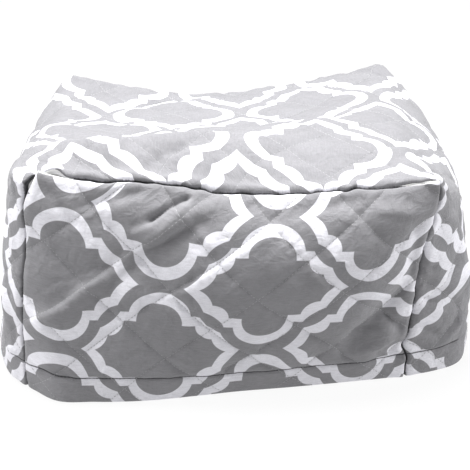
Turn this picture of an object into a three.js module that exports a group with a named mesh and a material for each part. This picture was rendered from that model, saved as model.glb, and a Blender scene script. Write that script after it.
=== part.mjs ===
// A box-shaped cover of quilted cloth, open underneath and standing on its hem.
// Millimetres. x runs to the right, y to the back, z up, and the front faces -y.
import * as THREE from 'three';

// cloth sizes
const WIDTH = 336;                  // front and back panels, side to side
const HEIGHT = 206;                 // hem to top seam
const DEPTH = 325;                  // strip, front seam to back seam
const STRIP = 2 * HEIGHT + WIDTH;   // strip, left foot over the top to the right foot
const MIDDLE = STRIP / 2;
const THICK = 2.4;                  // cloth at a quilting line
const PUFF = 1.7;                   // how far the filling stands up between quilting lines
const HEM = 25.3;                   // height of the hem stitching
const HEM_FOLD = 1.1;               // turned-up cloth behind the hem
const SEAM_GAP = 0.95;             // each piece stops this short of its seam line

// quilting diamonds, measured along the front panel and up it
const QUILT_WIDE = 72;
const QUILT_LEFT = 7;               // a panel's diamonds stand this far left of its middle
const QUILT_TALL = 67.5;
const NODES = 6;                    // mesh steps to a diamond

// from the front seam line to the middle of the base
const BASE_X = -0.85;
const BASE_Y = 153.8;

// Sections of the strip, one a row, at t along the cloth from the front seam: where the left and
// right bends would meet if sharp, how far each is rounded along the cloth, and the cloth below it.
const SECTIONS = table(
  ['t', 'y', 'leftX', 'leftZ', 'leftRound', 'leftDrop', 'rightX', 'rightZ', 'rightRound', 'rightDrop'],
  [
    [0, 6, -161, 214, 5, 206, 170, 207, 5, 206],
    [25, 29, -184, 207, 18, 201, 178, 202, 26, 202],
    [60, 61, -196, 205, 27, 195, 189, 199, 42, 194],
    [100, 100, -198, 201, 38, 191, 194, 195, 50, 190],
    [150, 147, -200, 197, 46, 188, 195, 196, 52, 188],
    [200, 194, -200, 185, 48, 188, 191, 193, 50, 190],
    [250, 241, -198, 178, 44, 191, 186, 192, 44, 194],
    [295, 282, -190, 182, 26, 198, 172, 196, 26, 202],
    [325, 308, -175, 190, 5, 206, 149, 203, 5, 206],
  ]);

// Rise of the top above the straight line between its two bends, at five places from left to right.
const TOP = table(
  ['t', 'farLeft', 'left', 'middle', 'right', 'farRight'],
  [
    [0, -7, -9, -17, -14, -6],
    [14, 3, 2, -5, -7, -3],
    [28, 14, 14, 8, 1, 1],
    [42, 17, 19, 15, 5, 4],
    [60, 11, 15, 18, 10, 8],
    [85, 4, 6, 14, 14, 8],
    [115, 0, 1, 6, 14, 7],
    [145, -3, -4, -3, 6, 5],
    [175, -5, -6, -7, -2, 5],
    [205, -6, -7, -8, -3, 5],
    [235, -5, -6, -8, -4, 5],
    [262, -5, -8, -10, -6, 4],
    [295, -7, -14, -16, -11, 0],
    [325, -8, -24, -29, -22, -10],
  ]);

// Feet of the two sides and how far each side swells out half way up.
const FEET = table(
  ['t', 'leftX', 'leftY', 'rightX', 'rightY', 'leftSwell', 'rightSwell'],
  [
    [0, -188, 10, 155, 25, 9, -4],
    [24, -204, 26, 178, 32, 4, 4],
    [60, -219, 61, 208, 49, -5, 5],
    [92, -226, 92, 219, 78, -7, 4],
    [126, -229, 124, 226, 111, -6, 3],
    [180, -227, 176, 227, 164, 0, 2],
    [240, -220, 234, 224, 222, 5, 6],
    [290, -204, 280, 202, 274, 8, 9],
    [325, -180, 302, 172, 300, 6, 6],
  ]);

// Where a seam of the front panel is pulled sideways: its place along the strip, how far, and the
// half length that this runs out over, along the seam and away from it.
const PULLS = [
  { place: 178, pull: -8, along: 26, away: 22 },
  { place: 568, pull: 4, along: 20, away: 22 },
  { place: 711, pull: -5, along: 9, away: 15 },
];

// How far the foot of a panel stands out from the straight line between its corners.
const FRONT_FOOT = table(['u', 'out'], [
  [-168, 0], [-142, 24], [-105, 29], [-60, 29], [-20, 24], [20, 18], [60, 14], [110, 8], [168, 0],
]);
const BACK_FOOT = table(['u', 'out'], [
  [-168, 0], [-130, 14], [-60, 21], [20, 18], [100, 14], [140, 10], [168, 0],
]);

// How far a panel swells out, at five places from left to right on rows up the cloth.
const FRONT_SWELL = table(
  ['v', 'farLeft', 'left', 'middle', 'right', 'farRight'],
  [
    [0, 0, 0, 0, 0, 0],
    [45, 4, 8, 14, 12, 8],
    [90, 4, 10, 23, 22, 16],
    [130, 4, 10, 25, 27, 20],
    [175, 3, 7, 16, 18, 13],
    [206, 0, 0, 0, 0, 0],
  ]);
const BACK_SWELL = table(
  ['v', 'farLeft', 'left', 'middle', 'right', 'farRight'],
  [
    [0, 0, 0, 0, 0, 0],
    [50, 5, 9, 11, 10, 6],
    [110, 6, 13, 17, 14, 8],
    [165, 3, 8, 10, 9, 5],
    [206, 0, 0, 0, 0, 0],
  ]);

// Creases: from one place on the cloth to another, half width, and height (a trough is negative).
// On the strip a place is (s, t) with s from the left foot; on a panel it is (u, v).
const STRIP_CREASES = creases([
  [[256, 38], [350, 60], 9, 3],
  [[350, 62], [430, 105], 11, 3],
  [[430, 138], [520, 116], 12, 2],
  [[225, 14], [262, 52], 11, -4],
  [[486, 28], [548, 92], 12, -4],
  [[588, 20], [640, 74], 12, 5],
  [[650, 14], [668, 92], 11, 5],
  [[612, 60], [700, 120], 12, -4],
  [[60, 20], [150, 74], 12, 4],
  [[250, 250], [330, 300], 13, -3],
]);
const FRONT_CREASES = creases([
  [[-62, 170], [-20, 200], 10, 6],
  [[-84, 128], [-36, 176], 12, -4],
  [[120, 60], [160, 118], 11, -6],
  [[132, 30], [160, 78], 9, 4],
  [[-168, 62], [-104, 120], 10, 4],
]);
const BACK_CREASES = creases([
  [[-70, 190], [10, 120], 14, -4],
  [[40, 60], [120, 120], 14, 4],
]);

function table(columns, rows) {
  const named = {};
  columns.forEach((name, k) => {
    named[name] = rows.map((row) => row[k]);
  });
  return { knots: named[columns[0]], columns: named };
}

function creases(rows) {
  return rows.map(([from, to, halfWidth, height]) => ({ from, to, halfWidth, height }));
}

function slopes(knots, values) {
  const last = knots.length - 1;
  return knots.map((knot, i) => {
    if (i === 0) return (values[1] - values[0]) / (knots[1] - knots[0]);
    if (i === last) return (values[last] - values[last - 1]) / (knots[last] - knots[last - 1]);
    const before = knot - knots[i - 1];
    const after = knots[i + 1] - knot;
    return (before * before * values[i + 1] + (after * after - before * before) * values[i]
      - after * after * values[i - 1]) / (before * after * (before + after));
  });
}

// A smooth curve through the values at the knots.
function curve(knots, values, at) {
  let i = 0;
  while (i < knots.length - 2 && at >= knots[i + 1]) i += 1;
  const slope = slopes(knots, values);
  const span = knots[i + 1] - knots[i];
  const f = (at - knots[i]) / span;
  const f2 = f * f;
  const f3 = f2 * f;
  return (2 * f3 - 3 * f2 + 1) * values[i] + (f3 - 2 * f2 + f) * slope[i] * span
    + (3 * f2 - 2 * f3) * values[i + 1] + (f3 - f2) * slope[i + 1] * span;
}

function read(rows, name, at) {
  return curve(rows.knots, rows.columns[name], at);
}

// Reads the five places of a row, with nothing at the two ends.
function readAcross(rows, places, along, across) {
  const names = ['farLeft', 'left', 'middle', 'right', 'farRight'];
  const values = [0, ...names.map((name) => read(rows, name, along)), 0];
  return curve(places, values, Math.min(1, Math.max(-1, across)));
}

// A path that comes into a corner along one direction and leaves along another, rounded over +-reach.
function softCorner(past, corner, arriving, leaving, reach) {
  const point = corner.clone();
  if (past <= -reach) return point.addScaledVector(arriving, past);
  if (past >= reach) return point.addScaledVector(leaving, past);
  point.addScaledVector(arriving, -((reach - past) ** 2) / (4 * reach));
  return point.addScaledVector(leaving, (reach + past) ** 2 / (4 * reach));
}

// Height of a list of creases at a place: each is a soft ridge or trough that runs out at its ends.
function creaseHeight(list, a, b) {
  let height = 0;
  for (const fold of list) {
    const alongA = fold.to[0] - fold.from[0];
    const alongB = fold.to[1] - fold.from[1];
    const length = Math.hypot(alongA, alongB);
    const offA = a - fold.from[0];
    const offB = b - fold.from[1];
    const along = (offA * alongA + offB * alongB) / length;
    const across = (offA * alongB - offB * alongA) / length;
    const past = Math.max(0, -along, along - length) / (1.6 * fold.halfWidth);
    height += fold.height * Math.exp(-((across / fold.halfWidth) ** 2) - past * past);
  }
  return height;
}

function fade(distance, reach) {
  const f = Math.min(1, Math.max(0, distance / reach));
  return f * f * (3 - 2 * f);
}

// The strip's outer face: s along it from the left foot, t across it from the front seam.
function stripBase(s, t) {
  const y = read(SECTIONS, 'y', t);
  const left = new THREE.Vector3(read(SECTIONS, 'leftX', t), y, read(SECTIONS, 'leftZ', t));
  const right = new THREE.Vector3(read(SECTIONS, 'rightX', t), y, read(SECTIONS, 'rightZ', t));
  const leftFoot = new THREE.Vector3(read(FEET, 'leftX', t), read(FEET, 'leftY', t), 0);
  const rightFoot = new THREE.Vector3(read(FEET, 'rightX', t), read(FEET, 'rightY', t), 0);
  const leftDrop = read(SECTIONS, 'leftDrop', t);
  const rightDrop = read(SECTIONS, 'rightDrop', t);
  const leftRound = Math.max(3, read(SECTIONS, 'leftRound', t));
  const rightRound = Math.max(3, read(SECTIONS, 'rightRound', t));
  const over = right.clone().sub(left).divideScalar(STRIP - leftDrop - rightDrop);
  const rising = left.clone().sub(leftFoot).divideScalar(leftDrop);
  const falling = rightFoot.clone().sub(right).divideScalar(rightDrop);
  const point = s < MIDDLE
    ? softCorner(s - leftDrop, left, rising, over, leftRound)
    : softCorner(s - (STRIP - rightDrop), right, over, falling, rightRound);
  const places = [-1, -0.8, -0.4, 0, 0.4, 0.8, 1];
  point.z += readAcross(TOP, places, t, (s - MIDDLE) / (WIDTH / 2));
  if (s < HEIGHT) point.x -= read(FEET, 'leftSwell', t) * Math.sin((Math.PI * s) / HEIGHT);
  if (s > HEIGHT + WIDTH) {
    point.x += read(FEET, 'rightSwell', t) * Math.sin((Math.PI * (STRIP - s)) / HEIGHT);
  }
  for (const { place, pull, along, away } of PULLS) {
    point.x += pull * Math.exp(-(((s - place) / along) ** 2) - (t / away) ** 2);
  }
  return point;
}

function stripPoint(s, t) {
  const edge = Math.min(t, DEPTH - t);
  const foot = Math.min(s, STRIP - s);
  const height = creaseHeight(STRIP_CREASES, s, t) * fade(edge, 26) * fade(foot, 40);
  return stripBase(s, t).addScaledVector(faceNormal(stripBase, s, t, STRIP, DEPTH), height);
}

// A panel's outer face: u across it from its middle, v up it from the hem.
function panelPoint(isFront, u, v) {
  const seam = isFront ? 0 : DEPTH;
  const out = isFront ? -1 : 1;
  const a = u / WIDTH + 0.5;
  const b = v / HEIGHT;
  const topLeft = stripBase(HEIGHT, seam);
  const topRight = stripBase(HEIGHT + WIDTH, seam);
  const footLeft = stripBase(0, seam);
  const footRight = stripBase(STRIP, seam);
  const foot = footLeft.clone().lerp(footRight, a);
  foot.y += out * read(isFront ? FRONT_FOOT : BACK_FOOT, 'out', u);
  const top = stripBase(MIDDLE + u, seam);
  const point = stripBase(v, seam).multiplyScalar(1 - a);
  point.addScaledVector(stripBase(STRIP - v, seam), a);
  point.addScaledVector(foot, 1 - b);
  point.addScaledVector(top, b);
  point.addScaledVector(footLeft, -(1 - a) * (1 - b));
  point.addScaledVector(footRight, -a * (1 - b));
  point.addScaledVector(topLeft, -(1 - a) * b);
  point.addScaledVector(topRight, -a * b);
  const places = [-1, -0.75, -0.4, 0, 0.4, 0.75, 1];
  const swell = readAcross(isFront ? FRONT_SWELL : BACK_SWELL, places, v, u / (WIDTH / 2));
  const side = WIDTH / 2 - Math.abs(u);
  const edge = fade(side, 22) * fade(v, 40) * fade(HEIGHT - v, 18);
  const crease = creaseHeight(isFront ? FRONT_CREASES : BACK_CREASES, u, v) * edge;
  point.y += out * (swell + crease);
  return point;
}

const frontPoint = (a, v) => panelPoint(true, a - WIDTH / 2, v);
const backPoint = (a, v) => panelPoint(false, a - WIDTH / 2, v);

// The direction square to a face at a place, by small steps that stay on the cloth.
function faceNormal(face, a, b, limitA, limitB) {
  const step = 0.8;
  const alongA = face(Math.min(limitA, a + step), b).sub(face(Math.max(0, a - step), b));
  const alongB = face(a, Math.min(limitB, b + step)).sub(face(a, Math.max(0, b - step)));
  return alongA.cross(alongB).normalize();
}

const stripNormal = (s, t) => faceNormal(stripPoint, s, t, STRIP, DEPTH);
const frontNormal = (a, v) => faceNormal(frontPoint, a, v, WIDTH, HEIGHT);
const backNormal = (a, v) => faceNormal(backPoint, a, v, WIDTH, HEIGHT).negate();

// The offset that keeps both faces the same thickness where two of them meet.
function mitre(first, second) {
  const along = first.clone().add(second);
  return along.divideScalar(Math.max(0.6, 1 + first.dot(second)));
}

const level = (normal) => normal.clone().setZ(0).normalize();

// How far the filling stands up at a place in the quilting, 0 on a stitched line.
function quilting(steps, rows) {
  const one = Math.abs(Math.cos((Math.PI * (steps + rows)) / NODES));
  const other = Math.abs(Math.cos((Math.PI * (steps - rows)) / NODES));
  return PUFF * Math.sqrt(one * other);
}

// One node of cloth: its outer and inner points.
function node(at, point, puff, normal, offset, foot) {
  const behind = foot < HEM - 0.1 ? THICK + HEM_FOLD : THICK;
  return {
    at,
    outer: point.clone().addScaledVector(normal, puff),
    inner: point.clone().addScaledVector(offset, -behind),
  };
}

// Places along a length where the mesh has nodes, counted in steps from a place on the quilting.
function placesAlong(start, end, origin, step, margin) {
  const places = [];
  const first = Math.ceil((start + margin - origin) / step - 1e-9);
  for (let k = first; origin + k * step < end - margin + 1e-9; k += 1) {
    places.push({ at: origin + k * step, count: k });
  }
  return places;
}

const WIDE_STEP = QUILT_WIDE / NODES;
const TALL_STEP = QUILT_TALL / NODES;
const PANEL_COLUMNS = placesAlong(0, WIDTH, WIDTH / 2 - QUILT_LEFT, WIDE_STEP, 8);
const PANEL_ROWS = placesAlong(HEM - 1, HEIGHT, HEM, TALL_STEP, 0.5)
  .filter((row) => row.at < HEIGHT - 6)
  .map((row) => ({ at: row.at, count: row.count + 4 }));
const STRIP_ROWS = placesAlong(0, DEPTH, DEPTH / 2, WIDE_STEP, 7);
const STRIP_COLUMNS = placesAlong(HEM - 1, STRIP - HEM + 1, HEM, TALL_STEP, 0.5);

// Nodes of a panel, row by row up it.
function panelNodes(isFront) {
  const face = isFront ? frontPoint : backPoint;
  const normalAt = isFront ? frontNormal : backNormal;
  const seam = isFront ? SEAM_GAP : DEPTH - SEAM_GAP;
  const columns = [{ at: SEAM_GAP, count: -100 }, ...PANEL_COLUMNS, { at: WIDTH - SEAM_GAP, count: 100 }];
  const rows = [{ at: 0 }, { at: HEM / 2 }, ...PANEL_ROWS, { at: HEIGHT - SEAM_GAP }];
  return rows.map((row, r) => columns.map((column, c) => {
    const point = face(column.at, row.at);
    const normal = normalAt(column.at, row.at);
    let offset = normal;
    const isLeft = c === 0;
    const isRight = c === columns.length - 1;
    const isTop = r === rows.length - 1;
    if (isLeft) offset = stripNormal(row.at, seam);
    if (isRight) offset = stripNormal(STRIP - row.at, seam);
    if (isTop) offset = stripNormal(HEIGHT + column.at, seam);
    if (isLeft || isRight || isTop) {
      offset = r === 0 ? mitre(level(normal), level(offset)) : mitre(normal, offset);
    } else if (r === 0) {
      offset = level(normal);
    }
    const inside = r > 1 && !isTop && !isLeft && !isRight;
    const edge = Math.min(column.at, WIDTH - column.at, HEIGHT - row.at);
    const puff = inside ? quilting(column.count, row.count) * fade(edge, 14) : 0;
    return node(column.at, point, puff, normal, offset, row.at);
  }));
}

// Nodes of the strip, row by row from the front seam to the back seam.
function stripNodes() {
  const sideRows = [0, HEM / 2, ...PANEL_ROWS.map((row) => row.at)];
  const seamPlaces = [
    ...sideRows,
    HEIGHT,
    ...PANEL_COLUMNS.map((column) => HEIGHT + column.at),
    HEIGHT + WIDTH,
    ...sideRows.slice().reverse().map((v) => STRIP - v),
  ];
  const seamRow = (t, face, normalAt) => seamPlaces.map((s) => {
    const normal = stripNormal(s, t);
    const u = Math.min(WIDTH, Math.max(0, s - HEIGHT));
    const v = Math.min(s, STRIP - s, HEIGHT);
    const other = normalAt(u, v);
    const atFoot = v < 0.01;
    const offset = atFoot ? mitre(level(normal), level(other)) : mitre(normal, other);
    return node(s, stripPoint(s, t), 0, normal, offset, v);
  });
  const columns = [
    { at: 0 }, { at: HEM / 2 }, ...STRIP_COLUMNS, { at: STRIP - HEM / 2 }, { at: STRIP },
  ];
  const inner = STRIP_ROWS.map((row) => columns.map((column) => {
    const normal = stripNormal(column.at, row.at);
    const foot = Math.min(column.at, STRIP - column.at);
    const edge = Math.min(row.at, DEPTH - row.at);
    const quilted = foot > HEM + 0.1;
    const puff = quilted ? quilting(row.count, column.count + 1) * fade(edge, 14) : 0;
    const offset = foot < 0.01 ? level(normal) : normal;
    return node(column.at, stripPoint(column.at, row.at), puff, normal, offset, foot);
  }));
  return [
    seamRow(SEAM_GAP, frontPoint, frontNormal),
    ...inner,
    seamRow(DEPTH - SEAM_GAP, backPoint, backNormal),
  ];
}

// Triangles between two rows, as pairs of row (0 lower, 1 upper) and place in it. Rows with the same
// places take the diagonal that lies on a quilting line; others are joined place by place.
function band(lower, upper, slantsBack) {
  const triangles = [];
  if (lower.length === upper.length) {
    for (let k = 0; k < lower.length - 1; k += 1) {
      if (slantsBack(k)) {
        triangles.push([[0, k], [0, k + 1], [1, k]], [[0, k + 1], [1, k + 1], [1, k]]);
      } else {
        triangles.push([[0, k], [0, k + 1], [1, k + 1]], [[0, k], [1, k + 1], [1, k]]);
      }
    }
    return triangles;
  }
  let i = 0;
  let j = 0;
  while (i < lower.length - 1 || j < upper.length - 1) {
    const stepLower = j === upper.length - 1
      || (i < lower.length - 1 && lower[i + 1].at <= upper[j + 1].at);
    if (stepLower) {
      triangles.push([[0, i], [0, i + 1], [1, j]]);
      i += 1;
    } else {
      triangles.push([[0, i], [1, j + 1], [1, j]]);
      j += 1;
    }
  }
  return triangles;
}

// A closed solid of cloth from rows of nodes.
function clothSolid(rows, slantsBack, isTurned) {
  const positions = [];
  const triangles = [];
  const add = (point) => {
    positions.push(point.x - BASE_X, point.y - BASE_Y, Math.abs(point.z) < 1e-6 ? 0 : point.z);
    return positions.length / 3 - 1;
  };
  const outer = rows.map((row) => row.map((one) => add(one.outer)));
  const inner = rows.map((row) => row.map((one) => add(one.inner)));
  const face = (a, b, c) => triangles.push(...(isTurned ? [a, c, b] : [a, b, c]));
  const wall = (a, b, c, d) => {
    face(a, b, c);
    face(a, c, d);
  };
  for (let r = 0; r < rows.length - 1; r += 1) {
    for (const corners of band(rows[r], rows[r + 1], (k) => slantsBack(r, k))) {
      const [a, b, c] = corners.map(([up, k]) => outer[r + up][k]);
      const [d, e, f] = corners.map(([up, k]) => inner[r + up][k]);
      face(a, b, c);
      face(d, f, e);
    }
    const lastLow = rows[r].length - 1;
    const lastHigh = rows[r + 1].length - 1;
    wall(outer[r][0], outer[r + 1][0], inner[r + 1][0], inner[r][0]);
    wall(outer[r + 1][lastHigh], outer[r][lastLow], inner[r][lastLow], inner[r + 1][lastHigh]);
  }
  const end = rows.length - 1;
  for (let k = 0; k < rows[0].length - 1; k += 1) {
    wall(outer[0][k], inner[0][k], inner[0][k + 1], outer[0][k + 1]);
  }
  for (let k = 0; k < rows[end].length - 1; k += 1) {
    wall(outer[end][k], outer[end][k + 1], inner[end][k + 1], inner[end][k]);
  }
  const geometry = new THREE.BufferGeometry();
  geometry.setAttribute('position', new THREE.Float32BufferAttribute(positions, 3));
  geometry.setIndex(triangles);
  return geometry;
}

// True where the quilting line through a mesh cell runs up and to the left.
function slantsLeft(steps, rows) {
  const half = NODES / 2;
  const remainder = (((steps + rows + 1 - half) % NODES) + NODES) % NODES;
  return remainder === 0;
}

function slantsRight(steps, rows) {
  const half = NODES / 2;
  const remainder = (((steps - rows - half) % NODES) + NODES) % NODES;
  return remainder === 0;
}

function slant(steps, rows) {
  if (slantsLeft(steps, rows)) return true;
  if (slantsRight(steps, rows)) return false;
  return (steps + rows) % 2 === 0;
}

const group = new THREE.Group();
group.name = 'projector_cover';

function addPiece(name, geometry, colour) {
  const material = new THREE.MeshStandardMaterial({ color: colour, roughness: 0.9 });
  material.name = name;
  const mesh = new THREE.Mesh(geometry, material);
  mesh.name = name;
  group.add(mesh);
}

const panelSlant = (r, k) => slant(PANEL_COLUMNS[0].count + k - 1, PANEL_ROWS[0].count + r - 2);
const stripSlant = (r, k) => slant(STRIP_COLUMNS[0].count + k - 1, STRIP_ROWS[0].count + r - 1);
addPiece('front_panel', clothSolid(panelNodes(true), panelSlant, false), 0x98989c);
addPiece('back_panel', clothSolid(panelNodes(false), panelSlant, true), 0x98989c);
addPiece('gusset_strip', clothSolid(stripNodes(), stripSlant, false), 0xa4a4a8);

export default group;
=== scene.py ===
import math

import bpy
import numpy as np
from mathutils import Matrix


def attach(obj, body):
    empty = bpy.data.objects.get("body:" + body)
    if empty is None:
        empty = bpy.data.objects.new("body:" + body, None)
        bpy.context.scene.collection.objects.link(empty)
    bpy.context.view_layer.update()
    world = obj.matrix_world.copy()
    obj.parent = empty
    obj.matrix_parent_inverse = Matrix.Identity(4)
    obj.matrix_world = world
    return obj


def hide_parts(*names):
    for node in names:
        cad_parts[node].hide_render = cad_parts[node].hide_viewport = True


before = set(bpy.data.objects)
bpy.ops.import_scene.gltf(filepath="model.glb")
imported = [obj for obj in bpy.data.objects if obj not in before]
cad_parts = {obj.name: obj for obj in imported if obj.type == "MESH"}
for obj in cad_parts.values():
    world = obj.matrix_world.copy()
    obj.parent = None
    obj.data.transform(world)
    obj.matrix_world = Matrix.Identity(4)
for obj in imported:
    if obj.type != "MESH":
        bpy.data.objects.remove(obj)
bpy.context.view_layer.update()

MM = 0.001

# The cover's cloth sizes in millimetres, the same as in the solids. The front faces -y.
WIDTH = 336.0
HEIGHT = 206.0
DEPTH = 325.0
STRIP = 2 * HEIGHT + WIDTH
MIDDLE = STRIP / 2
THICK = 2.4
HEM = 25.3
HEM_FOLD = 1.1
BASE_X = -0.85
BASE_Y = 153.8
QUILT_WIDE = 72.0
QUILT_TALL = 67.5
PUFF = 1.7

# Half the gap between two pieces at a seam, and how far the seam is drawn in.
SEAM_GAP = 0.25
SEAM_DEPTH = 3.4

# The camera: a long lens in front of the cover, looking down on it.
PHOTO_PIXELS = 470
FOCAL_PIXELS = 1250.0
LOOKS_DOWN = 27.0
CAMERA_PLACE = (-BASE_X * MM, (-934.0 - BASE_Y) * MM, 634.0 * MM)


def add_camera():
    data = bpy.data.cameras.new("camera")
    data.sensor_width = 36.0
    data.lens = FOCAL_PIXELS / PHOTO_PIXELS * data.sensor_width
    camera = bpy.data.objects.new("camera", data)
    camera.location = CAMERA_PLACE
    camera.rotation_euler = (math.radians(90 - LOOKS_DOWN), 0, 0)
    bpy.context.scene.collection.objects.link(camera)
    bpy.context.scene.camera = camera


add_camera()


def table(names, rows):
    """A table with named columns; the first column is where each row lies."""
    columns = {name: np.array([row[k] for row in rows], float) for k, name in enumerate(names)}
    return columns[names[0]], columns


# Sections of the strip at t along the cloth from the front seam: where the left and right bends
# would meet if sharp, how far each is rounded along the cloth, and the cloth below it.
SECTIONS = table(
    ["t", "y", "left_x", "left_z", "left_round", "left_drop",
     "right_x", "right_z", "right_round", "right_drop"],
    [
        [0, 6, -161, 214, 5, 206, 170, 207, 5, 206],
        [25, 29, -184, 207, 18, 201, 178, 202, 26, 202],
        [60, 61, -196, 205, 27, 195, 189, 199, 42, 194],
        [100, 100, -198, 201, 38, 191, 194, 195, 50, 190],
        [150, 147, -200, 197, 46, 188, 195, 196, 52, 188],
        [200, 194, -200, 185, 48, 188, 191, 193, 50, 190],
        [250, 241, -198, 178, 44, 191, 186, 192, 44, 194],
        [295, 282, -190, 182, 26, 198, 172, 196, 26, 202],
        [325, 308, -175, 190, 5, 206, 149, 203, 5, 206],
    ],
)

# Rise of the top above the straight line between its two bends, at five places across it.
PLACES = ["far_left", "left", "middle", "right", "far_right"]
TOP = table(
    ["t"] + PLACES,
    [
        [0, -7, -9, -17, -14, -6],
        [14, 3, 2, -5, -7, -3],
        [28, 14, 14, 8, 1, 1],
        [42, 17, 19, 15, 5, 4],
        [60, 11, 15, 18, 10, 8],
        [85, 4, 6, 14, 14, 8],
        [115, 0, 1, 6, 14, 7],
        [145, -3, -4, -3, 6, 5],
        [175, -5, -6, -7, -2, 5],
        [205, -6, -7, -8, -3, 5],
        [235, -5, -6, -8, -4, 5],
        [262, -5, -8, -10, -6, 4],
        [295, -7, -14, -16, -11, 0],
        [325, -8, -24, -29, -22, -10],
    ],
)

# Feet of the two sides and how far each side swells out half way up.
FEET = table(
    ["t", "left_x", "left_y", "right_x", "right_y", "left_swell", "right_swell"],
    [
        [0, -188, 10, 155, 25, 9, -4],
        [24, -204, 26, 178, 32, 4, 4],
        [60, -219, 61, 208, 49, -5, 5],
        [92, -226, 92, 219, 78, -7, 4],
        [126, -229, 124, 226, 111, -6, 3],
        [180, -227, 176, 227, 164, 0, 2],
        [240, -220, 234, 224, 222, 5, 6],
        [290, -204, 280, 202, 274, 8, 9],
        [325, -180, 302, 172, 300, 6, 6],
    ],
)

# Where a seam of the front panel is pulled sideways: its place along the strip, how far, and the
# half length that this runs out over, along the seam and away from it.
PULLS = [
    (178, -8, 26, 22),
    (568, 4, 20, 22),
    (711, -5, 9, 15),
]

# How far the foot of a panel stands out from the straight line between its corners.
FOOT = {
    "front": table(
        ["u", "out"],
        [[-168, 0], [-142, 24], [-105, 29], [-60, 29], [-20, 24], [20, 18], [60, 14], [110, 8], [168, 0]],
    ),
    "back": table(
        ["u", "out"],
        [[-168, 0], [-130, 14], [-60, 21], [20, 18], [100, 14], [140, 10], [168, 0]],
    ),
}

# How far a panel swells out, at five places across it on rows up the cloth.
SWELL = {
    "front": table(
        ["v"] + PLACES,
        [
            [0, 0, 0, 0, 0, 0],
            [45, 4, 8, 14, 12, 8],
            [90, 4, 10, 23, 22, 16],
            [130, 4, 10, 25, 27, 20],
            [175, 3, 7, 16, 18, 13],
            [206, 0, 0, 0, 0, 0],
        ],
    ),
    "back": table(
        ["v"] + PLACES,
        [
            [0, 0, 0, 0, 0, 0],
            [50, 5, 9, 11, 10, 6],
            [110, 6, 13, 17, 14, 8],
            [165, 3, 8, 10, 9, 5],
            [206, 0, 0, 0, 0, 0],
        ],
    ),
}

# How far the print of the front panel is drawn across and up by the way the cloth hangs, at five
# places across it on rows up the cloth, and how far back at the upper left end.
DRAWN_ACROSS = table(
    ["v"] + PLACES,
    [
        [0, -3, -2, -6, -4, 0],
        [35, -4, -2, -6, -4, 0],
        [60, -5, -2, -2, -1, 0],
        [90, -4, -2, -2, -1, 2],
        [120, 0, -1, -2.5, -1, 4],
        [135, 1.5, 0.5, -3, 0, 5],
        [155, 3.5, -1, -1.5, -0.5, 5],
        [172, 4.5, -1, 0.5, 0, 5],
        [190, 3, -1, 1.5, 1, 4],
        [206, 1, -1, 2, 1, 3],
    ],
)
DRAWN_LEFT_END = 6.0
DRAWN_UP = table(
    ["v"] + PLACES,
    [
        [0, 0, 0, 2, 2, 0],
        [35, 0, 1, 2, 2, 0],
        [60, 0, 1, -3, 0, 0],
        [90, 0, -1, -4, -1.5, 1],
        [120, 0, 1.5, -6, -3.5, 3.5],
        [135, 0, 1.5, -6.5, -2, 3],
        [155, -1, -1, -6.5, 1, 3],
        [172, -1, -2.5, -3.5, 1, 2],
        [190, -1.5, -3, -1, 1, 0],
        [206, -1.5, -3, 0, 1, 0],
    ],
)

# Creases: from one place on the cloth to another, half width, and height (a trough is negative).
CREASES = {
    "strip": [
        [(256, 38), (350, 60), 9, 3],
        [(350, 62), (430, 105), 11, 3],
        [(430, 138), (520, 116), 12, 2],
        [(225, 14), (262, 52), 11, -4],
        [(486, 28), (548, 92), 12, -4],
        [(588, 20), (640, 74), 12, 5],
        [(650, 14), (668, 92), 11, 5],
        [(612, 60), (700, 120), 12, -4],
        [(60, 20), (150, 74), 12, 4],
        [(250, 250), (330, 300), 13, -3],
    ],
    "front": [
        [(-62, 170), (-20, 200), 10, 6],
        [(-84, 128), (-36, 176), 12, -4],
        [(120, 60), (160, 118), 11, -6],
        [(132, 30), (160, 78), 9, 4],
        [(-168, 62), (-104, 120), 10, 4],
    ],
    "back": [
        [(-70, 190), (10, 120), 14, -4],
        [(40, 60), (120, 120), 14, 4],
    ],
}


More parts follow.
